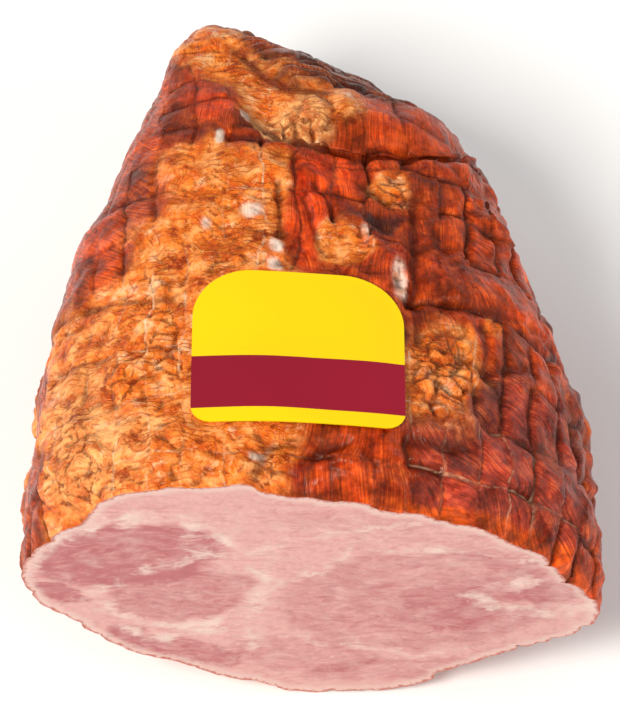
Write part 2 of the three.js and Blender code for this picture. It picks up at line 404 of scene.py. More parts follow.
class Skin:
    """The meat's surface as arrays, with where each point lies along and round the body."""

    STATIONS = 64
    SPOKES = 120

    def __init__(self, mesh):
        self.mesh = mesh
        self.points = read(mesh.vertices, "co", 3) / MM
        self.normals = read(mesh.vertices, "normal", 3)
        self.edges = read(mesh.edges, "vertices", 2, np.int32)
        self.front = self.points[:, 1].min()
        faces = [polygon.vertices[:] for polygon in mesh.polygons]
        in_plane = self.points[:, 1] < self.front + 0.02
        self.cut_faces = np.array([all(in_plane[list(face)]) for face in faces])
        cut = np.unique([v for face, hit in zip(faces, self.cut_faces) if hit for v in face])
        body = np.unique([v for face, hit in zip(faces, self.cut_faces) if not hit for v in face])
        self.outer = np.zeros(len(self.points), bool)
        self.outer[body] = True
        self.rim = np.intersect1d(cut, body)
        self.inner = np.setdiff1d(cut, body)
        self.along = self.points[:, 1] - self.front
        self.tree = BVHTree.FromPolygons([Vector(p) for p in self.points], faces)
        self.measure()

    def measure(self):
        """Finds each point's distance round the body from the middle of the back."""
        stations = np.linspace(0.5, self.along.max() - 2, self.STATIONS)
        spokes = np.radians(np.linspace(-180, 180, self.SPOKES + 1))
        boxes = []
        for station in stations:
            near = self.points[np.abs(self.along - station) < 2.5]
            low, high = near.min(0), near.max(0)
            boxes.append(((low + high) / 2, np.maximum((high - low) / 2, 2)))
        middles = np.array([middle for middle, _ in boxes])
        halves = np.array([half for _, half in boxes])
        lengths = []
        for station, middle, half in zip(stations, middles, halves):
            hits = []
            for spoke in spokes:
                way = Vector((half[0] * math.sin(spoke), 0, half[2] * math.cos(spoke))).normalized()
                start = Vector((middle[0], station + self.front, middle[2]))
                hit = self.tree.ray_cast(start + way * 400, -way)[0]
                hits.append(hit if hit is not None else start)
            steps = np.linalg.norm(np.diff(np.array(hits), axis=0), axis=1)
            reach = np.concatenate([[0], np.cumsum(steps)])
            lengths.append(reach - reach[self.SPOKES // 2] + middle[0])
        lengths = np.array(lengths)
        middle = [np.interp(self.along, stations, middles[:, axis]) for axis in (0, 2)]
        half = [np.interp(self.along, stations, halves[:, axis]) for axis in (0, 2)]
        across, up = ((self.points[:, axis] - middle[i]) / half[i] for i, axis in enumerate((0, 2)))
        angle = np.arctan2(across, up)
        row = np.interp(self.along, stations, np.arange(self.STATIONS))
        column = (angle / (2 * math.pi) + 0.5) * self.SPOKES
        r0 = np.minimum(row.astype(int), self.STATIONS - 2)
        c0 = np.minimum(column.astype(int), self.SPOKES - 1)
        r, c = row - r0, column - c0
        near = lengths[r0, c0] * (1 - c) + lengths[r0, c0 + 1] * c
        far = lengths[r0 + 1, c0] * (1 - c) + lengths[r0 + 1, c0 + 1] * c
        self.round = near * (1 - r) + far * r

    def place(self, x, along):
        """Number of the point of the back that is seen at this place from above."""
        back = np.flatnonzero(self.outer & (self.normals[:, 2] > 0.15) & (self.points[:, 2] > 45))
        offset = np.hypot(self.points[back, 0] - x, self.along[back] - along)
        return back[np.argmin(offset)]

    def apart(self, x, along, half_round, half_along):
        """How far each point lies from a place on the back, in shares of these half sizes."""
        centre = self.place(x, along)
        return np.hypot((self.round - self.round[centre]) / half_round, (self.along - along) / half_along)

    def softened(self, values, turns):
        """The values, averaged with their neighbours' again and again."""
        a, b = self.edges.T
        count = np.bincount(self.edges.ravel(), minlength=len(values))
        for _ in range(turns):
            total = np.bincount(a, values[b], len(values)) + np.bincount(b, values[a], len(values))
            values = 0.5 * values + 0.5 * total / count
        return values


# The label's corner radii, in mm, at its near and its far edge.
NEAR_CORNER, FAR_CORNER = 5, 15


def label_outline():
    """The label's outline from above, in mm: its middle and its half size."""
    low, high = (np.array(corner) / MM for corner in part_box("label"))
    return (low + high)[:2] / 2, (high - low)[:2] / 2


def label_inset(points):
    """How far each point lies inside the label's outline, seen from above."""
    middle, half = label_outline()
    offset = points[:, :2] - middle
    radius = np.where(offset[:, 1] > 0, FAR_CORNER, NEAR_CORNER)
    excess = np.abs(offset) - half + radius[:, None]
    return radius - np.linalg.norm(np.maximum(excess, 0), axis=1) - np.minimum(excess.max(1), 0)


def finish_weights(skin):
    """How much of each finish every point has. The hidden sides get broad patches at random."""
    names = sorted({patch[0] for patch in PATCHES})
    points = skin.points
    weights = {name: np.zeros(len(points)) for name in names}
    broad = cloud(points, 34, 11) + 0.5 * cloud(points, 15, 12)
    weights["brown_lean"] += 0.45 + 0.3 * cloud(points, 22, 13)
    weights["orange_lean"] += 0.42 + 0.35 * cloud(points, 26, 14)
    weights["golden_fat"] += 0.3 + 0.7 * broad
    wander = np.stack([cloud(points, 9, seed) for seed in (15, 16)], 1) * 4
    wander += np.stack([cloud(points, 3.2, seed) for seed in (17, 18)], 1) * 1.4
    for name, x, along, half_round, half_along, strength in PATCHES:
        centre = skin.place(x, along)
        size = min(1.0, half_round / 8, half_along / 8)
        round_off = (skin.round - skin.round[centre] + wander[:, 0] * size) / half_round
        along_off = (skin.along - skin.along[centre] + wander[:, 1] * size) / half_along
        off = np.abs(round_off) ** PATCH_SQUARENESS + np.abs(along_off) ** PATCH_SQUARENESS
        weights[name] += strength * np.exp(-(off**PATCH_STEEPNESS))
    table = np.stack([np.maximum(weights[name], 0) for name in names], 1) ** FINISH_CONTRAST
    table[~skin.outer] = 1
    table /= table.sum(1)[:, None] + 1e-9
    return names, table


class NetPrint:
    """Where the net's cords lay on the meat, how hard each pressed, and how the meat bulged between."""

    def __init__(self, skin, sizes):
        cell_length, cell_width = sizes.net_length / MM, sizes.net_width / MM
        self.wander = [
            CORD_WANDER
            * (cloud(skin.points, BROAD_WANDER, seed) + 0.4 * cloud(skin.points, CLOSE_WANDER, seed + 2))
            for seed in (21, 22)
        ]
        along = skin.along + self.wander[0]
        hoop = (along - FIRST_HOOP) / cell_length + TIGHTENING * np.maximum(along - TIGHTER_FROM, 0) ** 2
        rib = (skin.round + self.wander[1] - FIRST_RIB) / cell_width
        self.cell = np.stack([np.floor(hoop), np.floor(rib)], 1)
        self.hoop_gap = np.abs(hoop - np.round(hoop)) * cell_length
        self.rib_gap = np.abs(rib - np.round(rib)) * cell_width
        self.local = (hoop - np.floor(hoop) - 0.5) * cell_length
        hoop_pull = ramp(chance(np.stack([np.round(hoop), np.floor(rib)], 1), 4), 0.1, 0.8)
        rib_pull = ramp(chance(np.stack([np.floor(hoop), np.round(rib)], 1), 5), 0.25, 1.0)
        hoop_dip = hoop_pull * (1 - np.minimum(2.2 * self.hoop_gap / cell_length, 1)) ** 3
        rib_dip = rib_pull * (1 - np.minimum(2.2 * self.rib_gap / cell_width, 1)) ** 2.4
        self.bulge = (1 - hoop_dip) * (1 - rib_dip)
        hoop_groove = hoop_pull * bell(self.hoop_gap, HOOP_GROOVE)
        self.groove = np.maximum(hoop_groove, rib_pull * bell(self.rib_gap, RIB_GROOVE))


def past_fold(skin):
    """How far past the edge of the folded end each point lies, and how much it belongs to the back."""
    plan = np.stack([skin.points[:, 0], skin.along], 1)
    gap = line_distance(plan, FOLD_EDGE)
    beyond = skin.along > np.interp(skin.points[:, 0], FOLD_EDGE[:, 0], FOLD_EDGE[:, 1])
    high = ramp(skin.normals[:, 2], 0.0, 0.35) * ramp(skin.points[:, 2], 48, 66)
    return np.where(beyond, gap, -gap), high


def shaped(skin, sizes, net, fat, calm, dry):
    """The outer surface with its net print, clumps, wrinkles and creases, and how deep the shade painted
    into its creases and hollows is.
    """
    points, lean = skin.points, 1 - fat
    busy = 1 - 0.75 * calm
    swell = 0.6 + 0.7 * chance(net.cell, 3)
    height = sizes.pillow_height / MM * (lean + 0.3 * fat) * net.bulge * swell * busy
    height -= GROOVE_DEPTH * net.groove * (lean + 0.25 * fat) * busy

    bent = points + 2.5 * np.stack([cloud(points, 7, seed) for seed in (33, 34, 35)], 1)
    near, _ = clumps(bent, sizes.clump_size / MM, 31)
    dome = 1 - np.clip(near / (0.7 * sizes.clump_size / MM), 0, 1) ** 2
    _, small_edge = clumps(bent, 0.45 * sizes.clump_size / MM, 39)
    clumpy = ramp(cloud(points, 16, 32), -0.15, 0.45)
    dome += 0.45 * clumpy * ramp(small_edge, 0, 1.6)
    height += sizes.clump_height / MM * (0.4 + 0.6 * clumpy) * dome * (fat + 0.15 * lean) * busy

    bend = 7 * cloud(points, 17, 41) + 3 * cloud(points, 7, 42)
    phase = (skin.along + bend) / (sizes.wrinkle_spacing / MM)
    patchy = ramp(cloud(points, 12, 43), -0.35, 0.35)
    wrinkle = np.abs(np.sin(math.pi * phase)) ** 0.7
    height += sizes.wrinkle_height / MM * wrinkle * (fat * (0.2 + 0.8 * patchy) + 0.3 * lean + 2.2 * dry)
    height += lean * busy * cloud(bent, 6, 49)
    height += 1.3 * cloud(points, 24, 44) + (0.4 + 0.5 * fat) * cloud(bent, 9, 45)
    height += (0.12 + 0.42 * fat) * cloud(bent, 4.2, 46) * busy + 0.12 * cloud(points, 2, 47)

    for x, along_at, half_round, half_along, rise in SWELLINGS:
        height += rise * np.exp(-(skin.apart(x, along_at, half_round, half_along) ** 2.4))
    # Painted shade: how dark the material paints each point, deepest in the net's grooves on the lean,
    # between the fat's lobes, in the creases and under the fold.
    shade_depth = 1.5 * net.groove * lean * busy
    for x, along_at, half_round, half_along in LOBES:
        lobed = np.exp(-(skin.apart(x, along_at, half_round, half_along) ** 4)) * fat
        height += LOBE_HEIGHT * (ramp(small_edge, 0, 3) - 0.5) * lobed
        shade_depth = np.maximum(shade_depth, LOBE_CREASE * (1 - ramp(small_edge, 0, 0.9)) * lobed)
    ragged = 0.7 * cloud(points, 5, 48)
    for width, deep, corners in CREASES:
        line = curved([points[skin.place(x, along_at)] for x, along_at in corners], 3)
        gap = np.maximum(line_distance(points, line) + ragged, 0)
        shade_depth = np.maximum(shade_depth, bell(gap, width) * deep)
        height -= bell(gap, 1.6 * width) * deep
    height -= SETBACK

    # The folded end hangs over its crease.
    signed, high = past_fold(skin)
    ends = ramp(points[:, 0], -26, -8) * (1 - ramp(points[:, 0], 42, 60))
    lip = ramp(signed, -0.5, 3) * (1 - ramp(signed, 4, 20)) * high
    dip = bell(signed + 2, 2.6) * high * ends
    height -= FOLD_CREASE * dip
    # The crease under the fold also gets painted shade.
    shade_depth = np.maximum(shade_depth, FOLD_SHADE * dip)

    # The label presses the surface flat, and so does what the ham lies on.
    top = ramp(points[:, 2], 60, 70)
    pressed = ramp(label_inset(points), -4.5, -0.5) * top
    height = height * (1 - pressed) - LABEL_PRESS * pressed
    shade_depth *= 1 - pressed

    # The edge of the cut stays in its plane.
    way = skin.normals.copy()
    free = ramp(skin.along, 0, 4)[:, None]
    flat_way = way * (1, 0, 1)
    flat_way /= np.linalg.norm(flat_way, axis=1)[:, None] + 1e-9
    way = way * free + flat_way * (1 - free)
    moved = points + way * height[:, None]
    moved[:, 1] -= sizes.fold_overhang / MM * lip * ends
    moved[:, 1] = np.maximum(moved[:, 1], skin.front)
    moved[skin.rim, 1] = skin.front
    moved[:, 2] = np.maximum(moved[:, 2], 0)
    return moved, shade_depth


def cut_follows(skin, moved):
    """Moves the points inside the cut face along with its edge, and finds how far in they lie."""
    middle = skin.points[skin.rim].mean(0)

    def polar(points):
        offset = points - middle
        return np.arctan2(offset[:, 2], offset[:, 0]), np.hypot(offset[:, 0], offset[:, 2])

    own_turn, own_reach = polar(skin.points)

    def edge_reach(points):
        turn, reach = polar(points[skin.rim])
        order = np.argsort(turn)
        return np.interp(own_turn, turn[order], reach[order], period=2 * math.pi)

    edge, new_edge = edge_reach(skin.points), edge_reach(moved)
    share = own_reach / edge
    scale = 1 + (new_edge / edge - 1) * share**4
    inner = skin.inner
    moved[inner, 0] = middle[0] + (skin.points[inner, 0] - middle[0]) * scale[inner]
    moved[inner, 2] = middle[2] + (skin.points[inner, 2] - middle[2]) * scale[inner]
    texture = 0.18 * cloud(moved[inner], 5, 51) + 0.1 * cloud(moved[inner], 2, 52)
    moved[inner, 1] += ramp(edge[inner] - own_reach[inner], 0, 2.5) * (texture + 0.12)
    return np.maximum(new_edge - own_reach * scale, 0)


# The muscles on the cut face, from the left: x and height of the middle, half width, half height,
# lean in degrees, and how deep their colour is. Lengths are in mm.
MUSCLES = (
    (-46, 70, 25, 15, 12, 0.85),
    (-34, 50.5, 19, 13, 12, 0.55),
    (-64, 52, 8, 5, -35, 0.8),
    (-36, 24, 20, 6, -26, 0.7),
    (26, 48, 36, 25, 8, 0.4),
    (34, 44, 15, 12, 0, 0.3),
    (60, 52, 12, 4, 10, 0.55),
    (50, 66, 18, 5, -26, 0.3),
    (-2, 20, 20, 9, -8, 0.35),
    (20, 12, 26, 6, 6, 0.35),
    (8, 86, 24, 5, -6, 0.2),
)

# The seams of fat on the cut face: half width, then x and height of each point. In mm. Fraying
# widens a seam, so one with a half width below 0 shows only where it is frayed most.
SEAMS = (
    (1.0, ((-70, 66), (-60, 79), (-48, 87), (-34, 87), (-24, 79), (-19, 72))),
    (0.5, ((-60, 48), (-51, 55.5), (-40, 63), (-30, 68), (-20, 71), (-8, 75))),
    (0.1, ((-27, 68), (-33, 73), (-31, 78), (-25, 78), (-21, 74))),
    (0.7, ((-20, 70), (-15, 64), (-13, 56), (-15, 46), (-22, 39), (-34, 35), (-46, 37), (-54, 46))),
    (0.8, ((-50, 33), (-40, 30), (-28, 32), (-18, 34))),
    (-0.2, ((-13, 52), (-4, 58), (4, 66), (10, 78))),
    (-0.3, ((-12, 76), (2, 79), (14, 83), (24, 85))),
    (1.6, ((40, 51), (44, 54), (49, 55), (54, 57))),
    (1.8, ((41, 50), (45, 45), (52, 42), (60, 42), (69, 45))),
    (-0.4, ((14, 72), (30, 73), (44, 70), (56, 66), (66, 59))),
    (0.0, ((-14, 44), (-18, 36), (-16, 26), (-20, 18))),
    (-0.6, ((-2, 28), (12, 24), (26, 20), (40, 24))),
)


def cut_pattern(points):
    """How deep the flesh's colour is on the cut face, and how near each point is to a fat seam."""
    flat = points[:, (0, 2)] + np.stack([cloud(points, 11, 61), cloud(points, 11, 62)], 1) * 2
    flat += np.stack([cloud(points, 4, 63), cloud(points, 4, 64)], 1) * 1.4
    deep = 0.12 * cloud(points, 9, 65)
    for x, up, half_width, half_height, lean, strength in MUSCLES:
        c, s = math.cos(math.radians(lean)), math.sin(math.radians(lean))
        offset = flat - (x, up)
        across = (offset[:, 0] * c + offset[:, 1] * s) / half_width
        over = (offset[:, 1] * c - offset[:, 0] * s) / half_height
        out = np.hypot(across, over)
        deep += strength * (1 - ramp(out, 0.88, 1.06)) * (1 + 0.16 * np.cos(24 * out + 2 * lean))
    seam = np.full(len(points), 20.0)
    for half_width, corners in SEAMS:
        seam = np.minimum(seam, line_distance(flat, curved(corners, 5)) - half_width)
    return deep, seam


def store(mesh, name, values, kind="FLOAT", field="value"):
    """Keeps values on the mesh's points, for the materials to read."""
    attribute = mesh.attributes.new(name, kind, "POINT")
    attribute.data.foreach_set(field, np.ravel(values).astype(np.float32))


# --- Materials ----------------------------------------------------------------------------------


def plug(tree, new, inputs):
    """Sets a node's inputs to values, or links them to other nodes' outputs."""
    for name, value in inputs.items():
        if isinstance(value, bpy.types.NodeSocket):
            tree.links.new(value, new.inputs[name])
        else:
            new.inputs[name].default_value = value


def node(tree, kind, inputs=None, out=0, **settings):
    """Adds a node, sets it, sets or links its inputs, and gives one of its outputs."""
    new = tree.nodes.new("ShaderNode" + kind)
    for name, value in settings.items():
        setattr(new, name, value)
    plug(tree, new, inputs or {})
    return new.outputs[out]


def new_material(name):
    """An empty node material, what adds a node to it, and what sets its shader's inputs."""
    material = bpy.data.materials.new(name)
    material.use_nodes = True
    tree = material.node_tree
    return material, partial(node, tree), partial(plug, tree, tree.nodes["Principled BSDF"])


def full(rgb, share=1.0):
    """A colour with its alpha, made lighter or darker."""
    return (*(share * part for part in rgb), 1)


def per_metre(millimetres):
    """A texture's scale for features of this size."""
    return 1 / (millimetres * MM)


# What smoke multiplies a colour by where it has darkened the surface.
EMBER = (0.74, 0.34, 0.16, 1)
# Fibres of the lean, in mm: from one to the next, and how long they run.
FIBRE_SPACING, FIBRE_LENGTH = 0.65, 13
# Bands to the metre in a wave texture of scale 1.
WAVE_BANDS = 3.18
# Streaks in the cut muscles, to the metre: across, into and up the cut face.
STREAKS = (130, 1, 330)


def smoked_pork(colours):
    """Smoked pork: dried and glazed by smoke, pressed by a net, moist again from its own fat.

    The eye gets golden, wrinkled fat with painted red-brown shade in its creases and hollows, and
    red-brown lean meat with fine fibres, a painted sheen on the lightest of them, and a wet shine.
    """
    material, add, set_shader = new_material("smoked_pork_netted")
    place = add("TexCoord", out="Object")
    tint = add("Attribute", out="Color", attribute_name="tint")
    fat, lean, relief, hollow = (
        add("Attribute", out="Fac", attribute_name=name) for name in ("fat", "lean", "relief", "hollow")
    )
    grain, net = (add("Attribute", out="Vector", attribute_name=name) for name in ("grain", "net"))

    # Mottling from the smoke, in three sizes.
    mottle, spot, speck = (
        add("TexNoise", {"Vector": place, "Scale": per_metre(size), "Detail": detail, "Roughness": rough})
        for size, detail, rough in ((9, 5, 0.62), (7, 7, 0.72), (5, 6, 0.65))
    )
    light = add("MapRange", {0: mottle, 1: 0.3, 2: 0.7, 3: 0.72, 4: 1.28})
    colour_now = add("VectorMath", {0: tint, 3: light}, operation="SCALE")
    ember = add("Mix", {0: 1.0, 6: colour_now, 7: EMBER}, 2, data_type="RGBA", blend_type="MULTIPLY")
    burnt = add("Mix", {0: 0.4, 6: full(colours.crease), 7: ember}, 2, data_type="RGBA")

    # Tones: the mottling each follows, where it starts and is full, its strength, what it lies on
    # and its colour.
    tones = (
        (speck, 0.5, 0.34, 0.85, fat, full(colours.peach_fat, 1.15)),
        (speck, 0.5, 0.68, 0.85, 1.0, ember),
        (spot, 0.56, 0.63, 0.95, fat, burnt),
        (spot, 0.45, 0.33, 0.85, fat, full(linear("F6C898"))),
    )
    for follows, start, end, strength, lies_on, tone in tones:
        share = add("MapRange", {0: follows, 1: start, 2: end, 4: strength})
        share = add("Math", {0: share, 1: lies_on}, operation="MULTIPLY")
        colour_now = add("Mix", {0: share, 6: colour_now, 7: tone}, 2, data_type="RGBA")

    # Fine wrinkles of the fat, as thin lines of red-brown juice: 2 mm rows and a wandering network.
    rows = add(
        "TexWave",
        {
            "Vector": place,
            "Scale": per_metre(2) / WAVE_BANDS,
            "Distortion": 20,
            "Detail": 2,
            "Detail Scale": 0.5,
        },
        out="Fac",
        bands_direction="Y",
    )
    row_line = add("MapRange", {0: rows, 1: 0.25, 2: 0.02, 4: 0.6})
    here = add("MapRange", {0: mottle, 1: 0.56, 2: 0.46})
    wrinkles = add("Math", {0: row_line, 1: here}, operation="MULTIPLY")
    lined = add("MapRange", {0: speck, 1: 0.42, 2: 0.56, 3: 0.35, 4: 1.2})
    for size, half_width, strength in ((7, 0.03, 0.65), (3.2, 0.03, 0.35)):
        winding = {"Vector": place, "Scale": per_metre(size), "Detail": 3, "Distortion": 0.8}
        off = add("Math", {0: add("TexNoise", winding), 1: 0.5}, operation="SUBTRACT")
        off = add("Math", {0: off}, operation="ABSOLUTE")
        line = add("MapRange", {0: off, 1: half_width, 2: 0.004, 4: strength})
        line = add("Math", {0: line, 1: lined}, operation="MULTIPLY")
        wrinkles = add("Math", {0: wrinkles, 1: line}, operation="MAXIMUM")
    wrinkled = add("Math", {0: wrinkles, 1: fat}, operation="MULTIPLY")
    colour_now = add("Mix", {0: wrinkled, 6: colour_now, 7: ember}, 2, data_type="RGBA")

    # Fibres of the lean meat, about 0.7 mm apart.
    density = (1 / FIBRE_SPACING, 1 / FIBRE_LENGTH, 1)
    stretched = add("VectorMath", {0: grain, 1: density}, operation="MULTIPLY")
    fibre = add("TexNoise", {"Vector": stretched, "Scale": 1.0, "Detail": 3, "Distortion": 0.25})
    fibre_light = add("MapRange", {0: fibre, 1: 0.32, 2: 0.66, 3: 0.5, 4: 1.25})
    blotch = add("MapRange", {0: spot, 1: 0.38, 2: 0.62, 3: 1.6, 4: 0.42})
    fibre_light = add("Math", {0: fibre_light, 1: blotch}, operation="MULTIPLY")
    fibrous = add("VectorMath", {0: colour_now, 3: fibre_light}, operation="SCALE")
    # Painted sheen: the lightest fibres are mixed towards golden, as highlights.
    painted_fibre_sheen = add("MapRange", {0: fibre_light, 1: 1.1, 2: 1.8, 4: 0.32})
    fibrous = add("Mix", {0: painted_fibre_sheen, 6: fibrous, 7: full(colours.golden_fat)}, 2, data_type="RGBA")
    colour_now = add("Mix", {0: lean, 6: colour_now, 7: fibrous}, 2, data_type="RGBA")

    # Painted shade in the creases and hollows, fine ones and deep ones: the crease colour is mixed in where
    # the surface is hollow.
    fine = add("MapRange", {0: relief, 1: 0.0, 2: -0.2, 4: 0.8})
    deep = add("MapRange", {0: hollow, 1: 0.2, 2: 1.3, 4: 0.95})
    painted_crease_shade = add("Math", {0: fine, 1: deep}, operation="MAXIMUM")
    painted_shade_colour = add("Mix", {0: 0.25, 6: full(colours.crease), 7: colour_now}, 2, data_type="RGBA")
    colour_now = add("Mix", {0: painted_crease_shade, 6: colour_now, 7: painted_shade_colour}, 2, data_type="RGBA")

    # Pale lines where the cords of the net lay, broken up and mostly on fat.
    hoop_gap, rib_gap, shown = add("SeparateXYZ", {0: net}).node.outputs
    nearest = add("Math", {0: hoop_gap, 1: rib_gap}, operation="MINIMUM")
    line = add("MapRange", {0: nearest, 1: 0.5, 2: 0.15})
    broken = add("MapRange", {0: mottle, 1: 0.42, 2: 0.56, 4: 0.85})
    line = add("Math", {0: line, 1: broken}, operation="MULTIPLY")
    line = add("Math", {0: line, 1: shown}, operation="MULTIPLY")
    colour_now = add("Mix", {0: line, 6: colour_now, 7: full(colours.strand)}, 2, data_type="RGBA")

    # Fine bumps: fibres on the lean, wrinkles and pores on the fat.
    pores = add("TexNoise", {"Vector": place, "Scale": per_metre(1.1), "Detail": 3})
    furrowed = add("Math", {0: pores, 1: wrinkles}, operation="SUBTRACT")
    grainy = add("Mix", {0: fat, 2: fibre, 3: furrowed}, data_type="FLOAT")
    bump = add("Bump", {"Strength": 0.8, "Distance": 0.5 * MM, "Height": grainy})
    wet = add("MapRange", {0: speck, 1: 0.35, 2: 0.65, 3: 0.55, 4: 0.24})
    set_shader(
        {
            "Base Color": colour_now,
            "Roughness": wet,
            "Normal": bump,
            "Coat Normal": bump,
            "IOR": 1.45,
            "Specular IOR Level": 0.16,
            "Specular Tint": full(linear("FFC08A")),
            "Subsurface Weight": 0.06,
            "Subsurface Radius": (1.0, 0.3, 0.12),
            "Subsurface Scale": 1.5 * MM,
            "Coat Weight": 0.2,
            "Coat Roughness": 0.1,
        }
    )
    return material


def cut_pork(colours):
    """Cooked, cured pork, sliced with a long knife.

    The eye gets soft pink muscles with a fine grain, pale seams of fat between them, and a thin
    crust at the edge.
    """
    material, add, set_shader = new_material("cured_pork_sliced")
    place = add("TexCoord", out="Object")
    deep, seam, inset = (add("Attribute", out="Fac", attribute_name=n) for n in ("deep", "seam", "inset"))

    soft = add("TexNoise", {"Vector": place, "Scale": per_metre(8), "Detail": 5, "Roughness": 0.6})
    streaks = add("VectorMath", {0: place, 1: STREAKS}, operation="MULTIPLY")
    streaky = {"Vector": streaks, "Scale": 1.0, "Detail": 5, "Roughness": 0.65, "Distortion": 1.8}
    streak = add("TexNoise", streaky)
    fine = add("TexNoise", {"Vector": place, "Scale": per_metre(1.2), "Detail": 3})

    uneven = add("MapRange", {0: streak, 1: 0.3, 2: 0.7, 3: -0.36, 4: 0.42})
    amount = add("Math", {0: deep, 1: uneven}, operation="ADD", use_clamp=True)
    flesh = add(
        "Mix", {0: amount, 6: full(colours.flesh), 7: full(colours.flesh_deep)}, 2, data_type="RGBA"
    )
    marbled = add("MapRange", {0: soft, 1: 0.5, 2: 0.72, 4: 0.3})
    flesh = add("Mix", {0: marbled, 6: flesh, 7: full(colours.flesh_fat)}, 2, data_type="RGBA")

    ragged = add("MapRange", {0: fine, 1: 0.3, 2: 0.7, 3: -0.6, 4: 0.6})
    ragged_seam = add("Math", {0: seam, 1: ragged}, operation="ADD")
    frayed = add("MapRange", {0: streak, 1: 0.3, 2: 0.7, 3: -1.6, 4: 1.6})
    ragged_seam = add("Math", {0: ragged_seam, 1: frayed}, operation="ADD")
    fatty = add("MapRange", {0: ragged_seam, 1: 2.0, 2: -0.5, 4: 0.9})
    patchy = add("MapRange", {0: soft, 1: 0.4, 2: 0.6, 3: 0.15, 4: 1.0})
    fatty = add("Math", {0: fatty, 1: patchy}, operation="MULTIPLY")
    flesh = add("Mix", {0: fatty, 6: flesh, 7: full(colours.flesh_fat)}, 2, data_type="RGBA")
    grain_light = add("MapRange", {0: fine, 1: 0.3, 2: 0.7, 3: 0.93, 4: 1.06})
    flesh = add("VectorMath", {0: flesh, 3: grain_light}, operation="SCALE")

    ragged_inset = add("Math", {0: inset, 1: ragged}, operation="ADD")
    pale_edge = add("MapRange", {0: ragged_inset, 1: 3.5, 2: 1.6, 4: 0.55})
    flesh = add("Mix", {0: pale_edge, 6: flesh, 7: full(colours.flesh_fat)}, 2, data_type="RGBA")
    crust = add("MapRange", {0: ragged_inset, 1: 1.1, 2: 0.2, 4: 0.8})
    flesh = add("Mix", {0: crust, 6: flesh, 7: full(colours.orange_lean)}, 2, data_type="RGBA")

    grainy = add("Mix", {0: 0.5, 2: streak, 3: fine}, data_type="FLOAT")
    bump = add("Bump", {"Strength": 0.35, "Distance": 0.3 * MM, "Height": grainy})
    set_shader(
        {
            "Base Color": flesh,
            "Normal": bump,
            "Roughness": 0.42,
            "IOR": 1.45,
            "Subsurface Weight": 0.1,
            "Subsurface Radius": (1.0, 0.4, 0.3),
            "Subsurface Scale": 2.0 * MM,
            "Coat Weight": 0.1,
            "Coat Roughness": 0.35,
        }
    )
    return material


# The printed band, as shares of the label's length from its near edge.
BAND_FROM, BAND_TO = 0.09, 0.43


def coated_paper(colours):
    """Coated label paper, printed in two flat inks and calendered.

    The eye gets strong, even yellow, a band with a painted sheen across it, a satin shine and a trace of the
    paper's grain.
    """
    material, add, set_shader = new_material("label_paper_coated")
    place = add("TexCoord", out="Object")
    share = add("Attribute", out="Fac", attribute_name="share")
    above = add("Math", {0: share, 1: BAND_FROM}, operation="GREATER_THAN")
    below = add("Math", {0: share, 1: BAND_TO}, operation="LESS_THAN")
    inside = add("Math", {0: above, 1: below}, operation="MULTIPLY")
    across = add("SeparateXYZ", {0: place})
    # Painted sheen across the printed band: its ink is darker at one side and lighter at the other.
    painted_band_sheen = add("MapRange", {0: across, 1: -0.03, 2: 0.03, 3: 0.92, 4: 1.1})
    ink = add("VectorMath", {0: full(colours.band)[:3], 3: painted_band_sheen}, operation="SCALE")
    printed = add("Mix", {0: inside, 6: full(colours.paper), 7: ink}, 2, data_type="RGBA")
    grain = add("TexNoise", {"Vector": place, "Scale": per_metre(0.8), "Detail": 2})
    bump = add("Bump", {"Strength": 0.12, "Distance": 0.05 * MM, "Height": grain})
    look = {"Base Color": printed, "Normal": bump, "Roughness": 0.45, "IOR": 1.5, "Specular IOR Level": 0.25}
    set_shader(look)
    return material


def pale_floor():
    """Matt white paint on a board: an even, pale ground with no pattern."""
    material, _, set_shader = new_material("matt_white_paint")
    set_shader({"Base Color": full(linear("FBFBFA")), "Roughness": 0.75})
    return material


# --- Operators ----------------------------------------------------------------------------------


def linked(name, mesh):
    """A new object in the scene."""
    piece = bpy.data.objects.new(name, mesh)
    bpy.context.scene.collection.objects.link(piece)
    return piece


